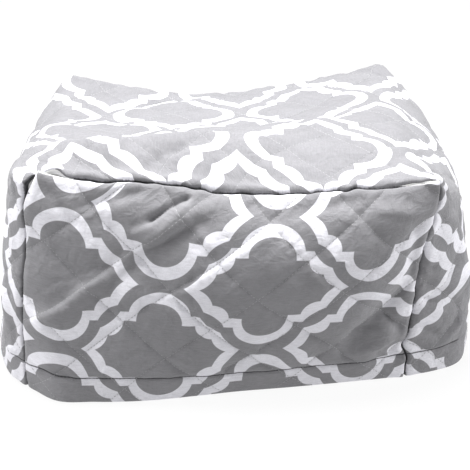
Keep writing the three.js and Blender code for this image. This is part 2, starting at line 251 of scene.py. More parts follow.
# Finer folds that are left to the cloth itself, in the same form. The last three columns are the
# half width on the two sides of the line, left and right of its direction, and the height.
FOLDS = {
    "strip": [
        [(208, 2), (212, 22), 3, 3, -11],
        [(194, 6), (198, 24), 7, 6, 7],
        [(222, 6), (228, 22), 6, 7, 5],
        [(628, 0), (632, 11), 1.6, 2.2, -2.6],
        [(668, 12), (688, 56), 4, 3, -2.4],
        [(664, 66), (702, 52), 3, 4, 2.2],
        [(702, 52), (718, 26), 4, 3, 2],
        [(650, 60), (690, 84), 4, 5, 2],
        [(692, 6), (704, 24), 3, 4, -2.2],
        [(300, 12), (330, 34), 5, 3, -2.4],
        [(270, 4), (278, 22), 3, 4, -1.6],
        [(352, 2), (360, 20), 3, 4, -1.5],
        [(404, 1), (398, 18), 4, 3, -1.6],
        [(548, 2), (560, 16), 3, 3, -3],
        [(150, 30), (168, 60), 4, 6, -2],
        [(100, 8), (176, 26), 4, 6, 1.8],
        [(36, 6), (90, 22), 5, 4, -1.6],
        [(610, 110), (690, 150), 7, 5, 2],
    ],
    "front": [
        [(-64, 178), (-42, 195), 2.6, 1.2, -4.6],
        [(-72, 172), (-60, 180), 5, 2.2, -2.0],
        [(-66, 164), (-43, 187), 1.6, 7, 2.4],
        [(-42, 187), (-18, 165), 5, 6, 2.0],
        [(-149, 81), (-78, 149), 2.5, 9, 2.6],
        [(-78, 149), (-46, 180), 2.5, 8, 1.8],
        [(-40, 114), (26, 176), 2.5, 9, 1.4],
        [(62, 80), (132, 146), 2.5, 9, 1.2],
        [(-104, 132), (-68, 150), 5, 4, -1.4],
        [(146, 74), (158, 58), 3, 4, -3.2],
        [(118, 66), (158, 66), 4, 3, -1.6],
        [(124, 40), (160, 52), 4, 5, 2.2],
        [(-152, 27), (-128, 29), 2.4, 4.5, -2.6],
        [(36, 186), (92, 196), 6, 4, -1.5],
        [(120, 186), (160, 176), 6, 4, 1.6],
        [(150, 168), (160, 120), 4, 5, -1.6],
        [(20, 60), (60, 34), 5, 6, 1.2],
        [(-150, 190), (-126, 172), 4, 5, -1.6],
        [(-118, 186), (-84, 196), 5, 4, -2.2],
        [(-60, 112), (-34, 96), 4, 5, 1.2],
        [(-120, 98), (-92, 84), 4, 5, -1.2],
        [(58, 160), (78, 132), 5, 4, 1.3],
        [(112, 108), (140, 92), 5, 4, -1.5],
    ],
    "back": [
        [(-150, 180), (-110, 140), 4, 6, -2.4],
        [(96, 178), (140, 150), 5, 4, 2.4],
        [(-30, 60), (10, 34), 5, 6, 1.6],
    ],
}


def curve(knots, values, at):
    """Smooth curves through the last axis of values at the knots."""
    i = np.clip(np.searchsorted(knots, at, side="right") - 1, 0, len(knots) - 2)
    span = knots[i + 1] - knots[i]
    f = (at - knots[i]) / span
    slope = np.gradient(values, knots, axis=-1)

    def take(array, k):
        if array.ndim == 1:
            return array[k]
        return np.take_along_axis(array, k[..., None], -1)[..., 0]

    f2 = f * f
    f3 = f2 * f
    start = (2 * f3 - 3 * f2 + 1) * take(values, i) + (f3 - 2 * f2 + f) * take(slope, i) * span
    end = (3 * f2 - 2 * f3) * take(values, i + 1) + (f3 - f2) * take(slope, i + 1) * span
    return start + end


def read(rows, name, at):
    knots, columns = rows
    return curve(knots, columns[name], at)


def read_across(rows, places, along, across):
    """Reads the five places of each row, with nothing at the two ends."""
    none = np.zeros_like(along)
    values = np.stack([none] + [read(rows, name, along) for name in PLACES] + [none], -1)
    return curve(np.array(places), values, np.clip(across, -1, 1))


def soft_corner(past, corner, arriving, leaving, reach):
    """A path into a corner along one direction and out along another, rounded over +-reach."""
    past = past[..., None]
    reach = reach[..., None]
    sharp = np.where(past < 0, arriving * past, leaving * past)
    into = arriving * (reach - past) ** 2 / (4 * reach)
    out = leaving * (reach + past) ** 2 / (4 * reach)
    return corner + np.where(np.abs(past) < reach, out - into, sharp)


def fade(distance, reach):
    f = np.clip(distance / reach, 0, 1)
    return f * f * (3 - 2 * f)


def crease_height(rows, a, b):
    """Height of soft ridges and troughs that run out at their ends."""
    height = np.zeros_like(a)
    for start, end, half_width, rise in rows:
        along_a = end[0] - start[0]
        along_b = end[1] - start[1]
        length = math.hypot(along_a, along_b)
        along = ((a - start[0]) * along_a + (b - start[1]) * along_b) / length
        across = ((a - start[0]) * along_b - (b - start[1]) * along_a) / length
        past = np.maximum(0, np.maximum(-along, along - length)) / (1.6 * half_width)
        height += rise * np.exp(-((across / half_width) ** 2) - past**2)
    return height


def fold_height(rows, a, b):
    """Height of folds that are steeper on one side than on the other."""
    height = np.zeros_like(a)
    for start, end, left_width, right_width, rise in rows:
        along_a = end[0] - start[0]
        along_b = end[1] - start[1]
        length = math.hypot(along_a, along_b)
        along = ((a - start[0]) * along_a + (b - start[1]) * along_b) / length
        across = ((b - start[1]) * along_a - (a - start[0]) * along_b) / length
        bend = 2.2 * np.sin(along / 7.0 + start[0])
        across = across - bend * 0.4
        width = np.where(across > 0, left_width, right_width)
        past = np.maximum(0, np.maximum(-along, along - length)) / (left_width + right_width)
        height += rise * np.exp(-((across / width) ** 2) - past**2)
    return height


def strip_base(s, t):
    """The strip's outer face: s along it from the left foot, t across it from the front seam."""
    y = read(SECTIONS, "y", t)
    left = np.stack([read(SECTIONS, "left_x", t), y, read(SECTIONS, "left_z", t)], -1)
    right = np.stack([read(SECTIONS, "right_x", t), y, read(SECTIONS, "right_z", t)], -1)
    left_foot = np.stack([read(FEET, "left_x", t), read(FEET, "left_y", t), 0 * t], -1)
    right_foot = np.stack([read(FEET, "right_x", t), read(FEET, "right_y", t), 0 * t], -1)
    left_drop = read(SECTIONS, "left_drop", t)
    right_drop = read(SECTIONS, "right_drop", t)
    over = (right - left) / (STRIP - left_drop - right_drop)[..., None]
    rising = (left - left_foot) / left_drop[..., None]
    falling = (right_foot - right) / right_drop[..., None]
    left_round = np.maximum(3, read(SECTIONS, "left_round", t))
    right_round = np.maximum(3, read(SECTIONS, "right_round", t))
    left_half = soft_corner(s - left_drop, left, rising, over, left_round)
    right_half = soft_corner(s - (STRIP - right_drop), right, over, falling, right_round)
    point = np.where((s < MIDDLE)[..., None], left_half, right_half)
    places = [-1, -0.8, -0.4, 0, 0.4, 0.8, 1]
    point[..., 2] += read_across(TOP, places, t, (s - MIDDLE) / (WIDTH / 2))
    left_side = np.sin(math.pi * np.clip(s / HEIGHT, 0, 1))
    right_side = np.sin(math.pi * np.clip((STRIP - s) / HEIGHT, 0, 1))
    point[..., 0] -= read(FEET, "left_swell", t) * np.where(s < HEIGHT, left_side, 0)
    point[..., 0] += read(FEET, "right_swell", t) * np.where(s > HEIGHT + WIDTH, right_side, 0)
    for place, pull, along, away in PULLS:
        point[..., 0] += pull * np.exp(-(((s - place) / along) ** 2) - (t / away) ** 2)
    return point


def face_normal(face, a, b, limit_a, limit_b):
    """The direction square to a face, by small steps that stay on the cloth."""
    step = 0.8
    along_a = face(np.minimum(limit_a, a + step), b) - face(np.maximum(0, a - step), b)
    along_b = face(a, np.minimum(limit_b, b + step)) - face(a, np.maximum(0, b - step))
    normal = np.cross(along_a, along_b)
    return normal / np.linalg.norm(normal, axis=-1, keepdims=True)


def strip_face(s, t):
    edge = np.minimum(t, DEPTH - t)
    foot = np.minimum(s, STRIP - s)
    height = crease_height(CREASES["strip"], s, t) * fade(edge, 26) * fade(foot, 40)
    return strip_base(s, t) + face_normal(strip_base, s, t, STRIP, DEPTH) * height[..., None]


def panel_face(side, a, v):
    """A panel's outer face: a across it from its left edge, v up it from the hem."""
    a, v = np.broadcast_arrays(np.asarray(a, float), np.asarray(v, float))
    u = a - WIDTH / 2
    seam = np.full_like(v, 0 if side == "front" else DEPTH)
    out = -1 if side == "front" else 1
    across = (a / WIDTH)[..., None]
    up = (v / HEIGHT)[..., None]
    at = {name: strip_base(np.full_like(v, s), seam)
          for name, s in [("top_left", HEIGHT), ("top_right", HEIGHT + WIDTH),
                          ("foot_left", 0), ("foot_right", STRIP)]}
    foot = at["foot_left"] * (1 - across) + at["foot_right"] * across
    foot[..., 1] += out * read(FOOT[side], "out", u)
    point = (1 - across) * strip_base(v, seam) + across * strip_base(STRIP - v, seam)
    point += (1 - up) * foot + up * strip_base(HEIGHT + a, seam)
    point -= (1 - across) * (1 - up) * at["foot_left"] + across * (1 - up) * at["foot_right"]
    point -= (1 - across) * up * at["top_left"] + across * up * at["top_right"]
    places = [-1, -0.75, -0.4, 0, 0.4, 0.75, 1]
    swell = read_across(SWELL[side], places, v, u / (WIDTH / 2))
    edge = fade(WIDTH / 2 - np.abs(u), 22) * fade(v, 40) * fade(HEIGHT - v, 18)
    point[..., 1] += out * (swell + crease_height(CREASES[side], u, v) * edge)
    return point


def front_face(a, v):
    return panel_face("front", a, v)


def back_face(a, v):
    return panel_face("back", a, v)


def strip_normal(s, t):
    return face_normal(strip_face, s, t, STRIP, DEPTH)


def front_normal(a, v):
    return face_normal(front_face, a, v, WIDTH, HEIGHT)


def back_normal(a, v):
    return -face_normal(back_face, a, v, WIDTH, HEIGHT)


# Noise that is the same on every run.
NOISE_SIZE = 128
NOISE = np.random.default_rng(31).random((NOISE_SIZE, NOISE_SIZE)) * 2 - 1


def noise(a, b, size, shift=0.0):
    """Smooth noise from -1 to 1 with features about size across."""
    x = a / size + shift
    y = b / size + 2.3 * shift
    i = np.floor(x).astype(int)
    j = np.floor(y).astype(int)
    fx = x - i
    fy = y - j
    fx = fx * fx * (3 - 2 * fx)
    fy = fy * fy * (3 - 2 * fy)

    def at(di, dj):
        return NOISE[(i + di) % NOISE_SIZE, (j + dj) % NOISE_SIZE]

    low = at(0, 0) * (1 - fx) + at(1, 0) * fx
    high = at(0, 1) * (1 - fx) + at(1, 1) * fx
    return low * (1 - fy) + high * fy


def quilt_lines(wide, tall):
    """Distances to the two families of quilting lines, and the way along each, in millimetres."""
    half_wide = QUILT_WIDE / 2
    half_tall = QUILT_TALL / 2
    per_mm = math.hypot(1 / half_wide, 1 / half_tall)
    found = []
    for sign in (1, -1):
        turns = wide / half_wide + sign * tall / half_tall
        off = np.abs((turns % 2) - 1) / per_mm
        along = (wide / half_wide - sign * tall / half_tall) / per_mm
        found.append((off, along))
    return found


def quilt_relief(wide, tall):
    """Height of the filling between the stitched lines, with puckers along them."""
    height = PUFF * (1.7 + 0.5 * noise(wide, tall, 55.0, 4.4))
    for off, along in quilt_lines(wide, tall):
        height *= 1 - np.exp(-off / 8.0)
    for k, (off, along) in enumerate(quilt_lines(wide, tall)):
        pucker = noise(along, off * 0 + 9.7 * k, 4.5, 3.1 * k)
        strength = 0.55 + 0.4 * noise(along, off * 0 + 31.0 * k, 38.0, 1.9)
        height += strength * pucker * np.exp(-off / 5.0)
        height -= 0.45 * np.exp(-((off / 1.2) ** 2))
    return height


def cloth_relief(a, b, edge):
    """Slack in the cloth: broad waves and small wrinkles, less near the seams."""
    slack = 1.1 * noise(a, b, 46.0, 0.4) + 0.5 * noise(a, b, 19.0, 5.2)
    small = 0.30 * noise(a + b, a - b, 9.0, 8.6)
    return (slack + small) * fade(edge, 30)


def hem_relief(v, along):
    """The groove of the hem stitching and the ripple of the doubled cloth below it."""
    groove = -1.3 * np.exp(-(((v - HEM) / 1.3) ** 2))
    ripple = noise(along, v * 0, 10.0, 2.2) * np.exp(-np.abs(v - HEM) / 8.0) * 1.8
    doubled = 0.5 * fade(v, 4) * fade(HEM - v, 5)
    fold = np.clip(1 - v / 1.7, 0, 1)
    edge = -1.5 * (1 - np.sqrt(np.maximum(0, 1 - fold**2)))
    return groove + 0.45 * ripple * fade(v, 6) + doubled + edge


def seam_relief(distance, along, gather, rise=0.7):
    """The cloth's roll beside a seam and the small gathers that run out of it."""
    roll = rise * np.exp(-(((distance - 5.0) / 4.0) ** 2))
    gathers = noise(along, distance * 0, 6.0, 1.7) + 0.7 * noise(along, distance * 0, 14.0, 6.3)
    return roll + gather * gathers * np.exp(-distance / 12.0) * fade(distance, 2.0)


# Which seam a wander is for: a shift of its noise.
FRONT_SEAM = 0
BACK_SEAM = 20


def seam_wave(s, distance, seam):
    """How a seam wanders off its line, the same for the two pieces that meet there."""
    off = 1.3 * noise(s, s * 0, 8.0, 7.1 + seam) + 2.0 * noise(s, s * 0, 24.0, 3.3 + seam)
    across = (s > HEIGHT) & (s < HEIGHT + WIDTH)
    corner = np.minimum(np.abs(s - HEIGHT), np.abs(s - HEIGHT - WIDTH))
    foot = np.minimum(s, STRIP - s)
    off = off * fade(corner, 14) * fade(foot, 30) * np.exp(-distance / 6.0)
    wave = np.zeros(off.shape + (3,))
    wave[..., 2] = np.where(across, off, 0)
    wave[..., 0] = np.where(across, 0, 0.7 * off)
    if seam == FRONT_SEAM:
        wave[..., 2] += 1.5 * np.exp(-np.abs(s - HEIGHT - 1) / 6.0 - distance / 9.0)
    return wave


# Closer rows of points: how far from the hem's stitching and how far apart, and those at the foot.
HEM_REACH = 4.2
HEM_STEP = 1.2
FOOT_ROWS = (0.4, 1.0, 1.9)


def spaced(length, start_fine, end_fine, step):
    """Places along a length, close together at a fine end."""
    near = [0, 0.4, 0.8, 1.3, 1.9, 2.7, 3.8, 5.2, 7.0]
    start = near if start_fine else [0]
    end = [length - x for x in reversed(near)] if end_fine else [length]
    low = start[-1]
    high = end[0]
    count = max(1, round((high - low) / step))
    middle = [low + (high - low) * k / count for k in range(1, count)]
    return np.array(start + middle + end)


def add_places(places, centre, reach, step):
    """Replaces the places near a line by closer ones."""
    kept = [p for p in places if abs(p - centre) > reach]
    count = round(2 * reach / step)
    added = [centre - reach + 2 * reach * k / count for k in range(count + 1)]
    return np.array(sorted(kept + added))


# Below this height the thickness is laid level and the seams are drawn in level, so that the foot
# is flat.
LEVEL_BELOW = 12


def level(normal):
    flat = normal.copy()
    flat[..., 2] = 0
    return flat / np.linalg.norm(flat, axis=-1, keepdims=True)


def seam_direction(own, other):
    """Out of a seam, half way between the two faces that meet there."""
    both = own + other
    return both / np.linalg.norm(both, axis=-1, keepdims=True)


def draw_in(distance):
    """1 at a seam, falling away from it."""
    return np.exp(-((distance / 1.15) ** 2))


def hem_thickness(foot):
    """The cloth's thickness at a distance up from its foot, with the hem turned up inside."""
    return THICK + (HEM_FOLD + 0.4) * fade(HEM + 3.5 - foot, 2.5)


def level_near_foot(direction, foot):
    """Turns a direction level where the cloth stands on the ground."""
    return np.where((foot < LEVEL_BELOW)[..., None], level(direction), direction)


# Where each piece's quilting and print lie on its own cloth: the middle of one diamond of the
# quilting, and the middle of one printed motif.
PANEL_QUILT = (-7.0, HEM + 91.0)
STRIP_QUILT = (DEPTH / 2, HEM + 326.25)
FRONT_MOTIF = (35.0, 121.5)
BACK_MOTIF = (-12.0, 98.0)
STRIP_MOTIF = (144.8, MIDDLE + 4.8)


def strip_arrays():
    """The strip's outer and inner points, and for each point its place in the print, in the hem's
    turned-up print, in the quilting and from the seams and the foot."""
    s = spaced(STRIP, False, False, 2.8)
    for line in (HEM, STRIP - HEM):
        s = add_places(s, line, HEM_REACH, HEM_STEP)
    s = np.array(sorted(set(s) | set(FOOT_ROWS) | {STRIP - row for row in FOOT_ROWS}))
    t = spaced(DEPTH - 2 * SEAM_GAP, True, True, 2.8) + SEAM_GAP
    s, t = np.meshgrid(s, t)
    foot = np.minimum(s, STRIP - s)
    edge = np.minimum(t, DEPTH - t)
    normal = strip_normal(s, t)
    height = quilt_relief(t - STRIP_QUILT[0], s - STRIP_QUILT[1])
    height *= fade(foot - HEM, 6) * fade(edge, 7)
    height += cloth_relief(s, t, np.minimum(foot, edge + 6))
    height += fold_height(FOLDS["strip"], s, t) * fade(foot - 4, 20) * fade(DEPTH - t, 8)
    height += hem_relief(foot, s + t)
    on_top = fade(foot - 190, 40)
    height += seam_relief(t, s, 0.6 + 0.9 * on_top, 0.8 + 1.3 * on_top)
    height += seam_relief(DEPTH - t, s + 400, 0.9, 1.2)
    point = strip_face(s, t)
    point += seam_wave(s, t, FRONT_SEAM) + seam_wave(s, DEPTH - t, BACK_SEAM)
    u = np.clip(s - HEIGHT, 0, WIDTH)
    v = np.minimum(foot, HEIGHT)
    inward = np.zeros_like(point)
    seams = [
        (t, 0.0, front_normal(u, v)),
        (DEPTH - t, DEPTH, back_normal(u, v)),
    ]
    for near, at_t, other in seams:
        away = seam_direction(strip_normal(s, np.full_like(s, at_t)), other)
        inward -= level_near_foot(away, foot) * (SEAM_DEPTH * draw_in(near))[..., None]
    outer = point + normal * height[..., None] + inward
    inner = outer - level_near_foot(normal, foot) * hem_thickness(foot)[..., None] + inward * 0.4
    drawn = s + 0.053 * (s - 450) * fade(t - 60, 140) * fade(foot - 60, 140)
    print_at = np.stack([t - STRIP_MOTIF[0], drawn - STRIP_MOTIF[1]], -1)
    turned = np.where(s < MIDDLE, -2 * s, 2 * (STRIP - s))
    fold_at = np.stack([t - STRIP_MOTIF[0], s + turned - STRIP_MOTIF[1]], -1)
    quilt_at = np.stack([t - STRIP_QUILT[0], s - STRIP_QUILT[1]], -1)
    line_at = np.stack([edge, foot], -1)
    return outer, inner, print_at, fold_at, quilt_at, line_at, foot


def panel_arrays(side, step):
    """The same for the front or back panel, with its points about step apart."""
    face = front_face if side == "front" else back_face
    face_out = front_normal if side == "front" else back_normal
    seam = 0.0 if side == "front" else DEPTH
    motif = FRONT_MOTIF if side == "front" else BACK_MOTIF
    a = spaced(WIDTH - 2 * SEAM_GAP, True, True, step) + SEAM_GAP
    v = spaced(HEIGHT - SEAM_GAP, False, True, step)
    v = add_places(v, HEM, HEM_REACH, HEM_STEP)
    v = np.array(sorted(set(v) | set(FOOT_ROWS)))
    a, v = np.meshgrid(a, v)
    u = a - WIDTH / 2
    edge = np.minimum(np.minimum(a, WIDTH - a), HEIGHT - v)
    normal = face_out(a, v)
    height = quilt_relief(u - PANEL_QUILT[0], v - PANEL_QUILT[1]) * fade(v - HEM, 6) * fade(edge, 7)
    height += cloth_relief(a + 900, v, np.minimum(v, edge + 6))
    height += fold_height(FOLDS[side], u, v) * fade(edge - 1, 7) * fade(v - 6, 12)
    height += hem_relief(v, a + 300)
    height += seam_relief(HEIGHT - v, a + 50, 0.6)
    height += 3.2 * (1 - np.exp((v - HEIGHT) / 11.0)) * fade(v - 45, 110) * fade(edge + 8, 30)
    height += seam_relief(a, v + 700, 0.5) + seam_relief(WIDTH - a, v + 90, 1.0)
    wander = FRONT_SEAM if side == "front" else BACK_SEAM
    point = face(a, v) + seam_wave(HEIGHT + a, HEIGHT - v, wander)
    point += seam_wave(v, a, wander) + seam_wave(STRIP - v, WIDTH - a, wander)
    inward = np.zeros_like(point)
    seams = [
        (a, 0 * a, v, v),
        (WIDTH - a, 0 * a + WIDTH, v, STRIP - v),
        (HEIGHT - v, a, 0 * v + HEIGHT, HEIGHT + a),
    ]
    for near, at_a, at_v, at_s in seams:
        away = seam_direction(face_out(at_a, at_v), strip_normal(at_s, 0 * at_s + seam))
        inward -= level_near_foot(away, v) * (SEAM_DEPTH * draw_in(near))[..., None]
    outer = point + normal * height[..., None] + inward
    inner = outer - level_near_foot(normal, v) * hem_thickness(v)[..., None] + inward * 0.4
    drawn_u = u
    drawn_v = v
    if side == "front":
        places = [-1, -0.8, -0.4, 0.1, 0.55, 0.85, 1]
        drawn_u = u + read_across(DRAWN_ACROSS, places, v, u / (WIDTH / 2))
        drawn_u -= DRAWN_LEFT_END * fade(-80 - u, 35) * fade(v - 105, 30)
        drawn_v = v + read_across(DRAWN_UP, places, v, u / (WIDTH / 2))
    print_at = np.stack([drawn_u - motif[0], drawn_v - motif[1]], -1)
    fold_at = np.stack([u - motif[0], -v - motif[1]], -1)
    quilt_at = np.stack([u - PANEL_QUILT[0], v - PANEL_QUILT[1]], -1)
    line_at = np.stack([edge, v], -1)
    return outer, inner, print_at, fold_at, quilt_at, line_at, v


def grid_faces(rows, columns, first, is_turned):
    """Quads of a grid of points, numbered row by row from first."""
    r, c = np.meshgrid(np.arange(rows - 1), np.arange(columns - 1), indexing="ij")
    low = (first + r * columns + c).ravel()
    quads = np.stack([low, low + 1, low + columns + 1, low + columns], -1)
    return quads[:, ::-1] if is_turned else quads


def cloth_object(name, arrays, is_turned):
    """A closed sheet from its outer and inner points, with the cloth's own coordinates."""
    outer, inner, print_at, fold_at, quilt_at, line_at, foot = arrays
    rows, columns = foot.shape
    count = rows * columns
    points = np.concatenate([outer.reshape(-1, 3), inner.reshape(-1, 3)])
    points[:, 2] = np.maximum(points[:, 2], 0)
    points -= np.array([BASE_X, BASE_Y, 0])
    faces = [grid_faces(rows, columns, 0, is_turned), grid_faces(rows, columns, count, not is_turned)]
    number = np.arange(count).reshape(rows, columns)
    border = np.concatenate([number[0, :], number[1:, -1], number[-1, -2::-1], number[-2:0:-1, 0]])
    after = np.roll(border, -1)
    wall = np.stack([after, border, border + count, after + count], -1)
    faces.append(wall[:, ::-1] if is_turned else wall)
    quads = np.concatenate(faces)
    mesh = bpy.data.meshes.new(name)
    mesh.from_pydata((points * MM).tolist(), [], quads.tolist())
    where = quads.ravel()
    is_inner = where >= count
    flat_foot = np.concatenate([foot.ravel()] * 2)
    turned_up = is_inner & (flat_foot[where] < HEM + 3)
    cloth = np.concatenate([print_at.reshape(-1, 2)] * 2)
    folded = np.concatenate([fold_at.reshape(-1, 2)] * 2)
    print_map = np.where(turned_up[:, None], folded[where], cloth[where])
    quilt_map = np.concatenate([quilt_at.reshape(-1, 2)] * 2)[where]
    line_map = np.concatenate([line_at.reshape(-1, 2)] * 2)[where]
    for layer_name, values in (("print", print_map), ("quilt", quilt_map), ("lines", line_map)):
        layer = mesh.uv_layers.new(name=layer_name)
        layer.data.foreach_set("uv", (values * MM).astype(np.float32).ravel())
    corner_foot = flat_foot[quads].max(axis=1)
    is_backing = (quads.min(axis=1) >= count) & (corner_foot > HEM + 2.5)
    mesh.polygons.foreach_set("material_index", is_backing.astype(np.int32))
    mesh.polygons.foreach_set("use_smooth", np.ones(len(quads), bool))
    mesh.update()
    piece = bpy.data.objects.new(name, mesh)
    bpy.context.scene.collection.objects.link(piece)
    return piece


def sample(grid, rows, columns, at_row, at_column):
    """Values of a grid between its nodes; rows and columns are where its nodes lie."""
    i = np.clip(np.searchsorted(rows, at_row) - 1, 0, len(rows) - 2)
    j = np.clip(np.searchsorted(columns, at_column) - 1, 0, len(columns) - 2)
    fi = ((at_row - rows[i]) / (rows[i + 1] - rows[i]))[:, None]
    fj = ((at_column - columns[j]) / (columns[j + 1] - columns[j]))[:, None]
    low = grid[i, j] * (1 - fj) + grid[i, j + 1] * fj
    high = grid[i + 1, j] * (1 - fj) + grid[i + 1, j + 1] * fj
    return low * (1 - fi) + high * fi


# A stitch: its length, the way from one to the next, and half the thread's thickness.
STITCH = 2.3
STITCH_STEP = 3.3
THREAD = 0.27

# How far the quilting lines are followed to each side, and how many half diamonds away.
LONGEST_LINE = 760
MOST_LINES = 41


def quilt_stitches(wide_range, tall_range):
    """Starts and directions of the stitches along the quilting lines, from a diamond's middle."""
    half_wide = QUILT_WIDE / 2
    half_tall = QUILT_TALL / 2
    length = math.hypot(half_wide, half_tall)
    reach = np.arange(-LONGEST_LINE, LONGEST_LINE, STITCH_STEP)
    starts = []
    ways = []
    for sign in (1, -1):
        way = np.array([half_wide, -sign * half_tall]) / length
        for turn in range(-MOST_LINES, MOST_LINES + 1, 2):
            line = np.array([turn * half_wide / 2, sign * turn * half_tall / 2]) + reach[:, None] * way
            inside = (line[:, 0] > wide_range[0]) & (line[:, 0] < wide_range[1])
            inside &= (line[:, 1] > tall_range[0]) & (line[:, 1] < tall_range[1])
            starts.append(line[inside])
            ways.append(np.tile(way, (inside.sum(), 1)))
    return np.concatenate(starts), np.concatenate(ways)


def stitch_object(name, cloth, starts, ways, material):
    """Short raised dashes of thread on a cloth, from places and directions (row, column) on it."""
    outer, rows, columns, is_turned = cloth
    ends = starts + ways * STITCH
    middle = (starts + ends) / 2
    places = []
    for at in (starts, middle, ends):
        places.append(sample(outer, rows, columns, at[:, 0], at[:, 1]))
    step = 0.6
    along_row = sample(outer, rows, columns, middle[:, 0] + step, middle[:, 1])
    along_row -= sample(outer, rows, columns, middle[:, 0] - step, middle[:, 1])
    along_column = sample(outer, rows, columns, middle[:, 0], middle[:, 1] + step)
    along_column -= sample(outer, rows, columns, middle[:, 0], middle[:, 1] - step)
    up = np.cross(along_column, along_row)
    up /= np.linalg.norm(up, axis=-1, keepdims=True)
    if is_turned:
        up = -up
    start, centre, end = places
    ahead = end - start
    ahead /= np.linalg.norm(ahead, axis=-1, keepdims=True)
    side = np.cross(up, ahead)
    rings = [start - up * 0.25]
    for along in (0.3, 0.7):
        core = start + (end - start) * along + (centre - (start + end) / 2) + up * 0.12
        rings += [core + side * THREAD, core + up * THREAD, core - side * THREAD, core - up * THREAD]
    rings.append(end - up * 0.25)
    points = np.stack(rings, 1).reshape(-1, 3) - np.array([BASE_X, BASE_Y, 0])
    faces = []
    for k in range(4):
        after = (k + 1) % 4
        faces += [(0, 1 + after, 1 + k), (1 + k, 1 + after, 5 + after), (1 + k, 5 + after, 5 + k)]
        faces.append((9, 5 + k, 5 + after))
    every = np.array(faces)[None] + 10 * np.arange(len(starts))[:, None, None]
    mesh = bpy.data.meshes.new(name)
    mesh.from_pydata((points * MM).tolist(), [], every.reshape(-1, 3).tolist())
    mesh.polygons.foreach_set("use_smooth", np.ones(len(mesh.polygons), bool))
    mesh.materials.append(material)
    thread = bpy.data.objects.new(name, mesh)
    bpy.context.scene.collection.objects.link(thread)
    return thread


# The printed trellis, in millimetres from the middle of a motif: the pitch of the motifs along
# their points and across, and the half shape of one, outside and inside its white line. A lobe is
# a circle above the middle; the body ends at a shelf under the lobe and at two bites, each a
# circle beyond it, and at its point.
PITCH_LONG = 173.7
PITCH_SHORT = 130.9
OUTSIDE = {
    "lobe": (33.4, 26.2),
    "shelf": 37.3,
    "bites": [(61.4, 51.2, 31.2), (93.0, 37.4, 44.6)],
    "point": 71.5,
}
INSIDE = {
    "lobe": (29.2, 19.4),
    "shelf": 28.2,
    "bites": [(45.0, 29.0, 14.8), (65.6, 19.6, 21.7)],
    "point": 57.5,
}


class Nodes:
    """Short names for building a node tree."""

    def __init__(self, material):
        material.use_nodes = True
        self.tree = material.node_tree
        self.tree.nodes.clear()

    def add(self, kind, values=None, **settings):
        node = self.tree.nodes.new(kind)
        for key, value in settings.items():
            setattr(node, key, value)
        for key, value in (values or {}).items():
            if isinstance(value, bpy.types.NodeSocket):
                self.tree.links.new(value, node.inputs[key])
            else:
                node.inputs[key].default_value = value
        return node

    def math(self, operation, *values, clamp=False):
        node = self.add("ShaderNodeMath", dict(enumerate(values)), operation=operation)
        node.use_clamp = clamp
        return node.outputs[0]

    def vector(self, operation, first, second):
        node = self.add("ShaderNodeVectorMath", {0: first, 1: second}, operation=operation)
        return node.outputs["Value"] if operation in ("DISTANCE", "LENGTH") else node.outputs[0]

    def mix(self, factor, first, second):
        node = self.add("ShaderNodeMix", data_type="RGBA")
        sockets = {"Factor_Float": factor, "A_Color": first, "B_Color": second}
        for socket in node.inputs:
            value = sockets.get(socket.identifier)
            if value is None:
                continue
            if isinstance(value, bpy.types.NodeSocket):
                self.tree.links.new(value, socket)
            else:
                socket.default_value = value
        for socket in node.outputs:
            if socket.identifier == "Result_Color":
                return socket
        raise ValueError("no colour result")


def inside_shape(nodes, x, y, place, shape):
    """How far a place is inside a motif's shape, in millimetres."""
    lobe_middle, lobe_radius = shape["lobe"]
    from_lobe = nodes.vector("DISTANCE", place, (0, lobe_middle, 0))
    lobe = nodes.math("SUBTRACT", lobe_radius, from_lobe)
    body = nodes.math("SUBTRACT", shape["shelf"], y)
    body = nodes.math("MINIMUM", body, nodes.math("SUBTRACT", shape["point"], x))
    for across, up, radius in shape["bites"]:
        from_bite = nodes.vector("DISTANCE", place, (across, up, 0))
        body = nodes.math("MINIMUM", body, nodes.math("SUBTRACT", from_bite, radius))
    return nodes.math("MAXIMUM", lobe, body)


def white_line(nodes, long, short):
    """1 on the white line of the motifs whose middles are at multiples of the two pitches."""
    x = nodes.math("PINGPONG", long, PITCH_LONG / 2)
    y = nodes.math("PINGPONG", short, PITCH_SHORT / 2)
    place = nodes.add("ShaderNodeCombineXYZ", {0: x, 1: y, 2: 0.0}).outputs[0]
    outside = inside_shape(nodes, x, y, place, OUTSIDE)
    inside = inside_shape(nodes, x, y, place, INSIDE)
    line = nodes.math("MINIMUM", outside, nodes.math("MULTIPLY", inside, -1.0))
    softened = nodes.math("MULTIPLY", line, 2.2)
    return nodes.math("ADD", softened, 0.5, clamp=True)


def coordinates(nodes, layer):
    """The two coordinates of a layer of the cloth, in millimetres."""
    read_layer = nodes.add("ShaderNodeUVMap", uv_map=layer).outputs[0]
    in_mm = nodes.vector("MULTIPLY", read_layer, (1000.0, 1000.0, 0.0))
    parts = nodes.add("ShaderNodeSeparateXYZ", {0: in_mm})
    return parts.outputs[0], parts.outputs[1], in_mm


def quilt_groove(nodes):
    """1 on a quilting line and 0 a little way off it."""
    wide, tall, _ = coordinates(nodes, "quilt")
    half_wide = QUILT_WIDE / 2
    half_tall = QUILT_TALL / 2
    per_mm = math.hypot(1 / half_wide, 1 / half_tall)
    lines = []
    for sign in (1, -1):
        first = nodes.math("DIVIDE", wide, half_wide)
        second = nodes.math("DIVIDE", tall, sign * half_tall)
        turns = nodes.math("ADD", nodes.math("ADD", first, second), 1.0)
        off = nodes.math("DIVIDE", nodes.math("PINGPONG", turns, 1.0), per_mm)
        near = nodes.math("SUBTRACT", 1.0, nodes.math("DIVIDE", off, 1.1), clamp=True)
        lines.append(near)
    return nodes.math("MAXIMUM", lines[0], lines[1])


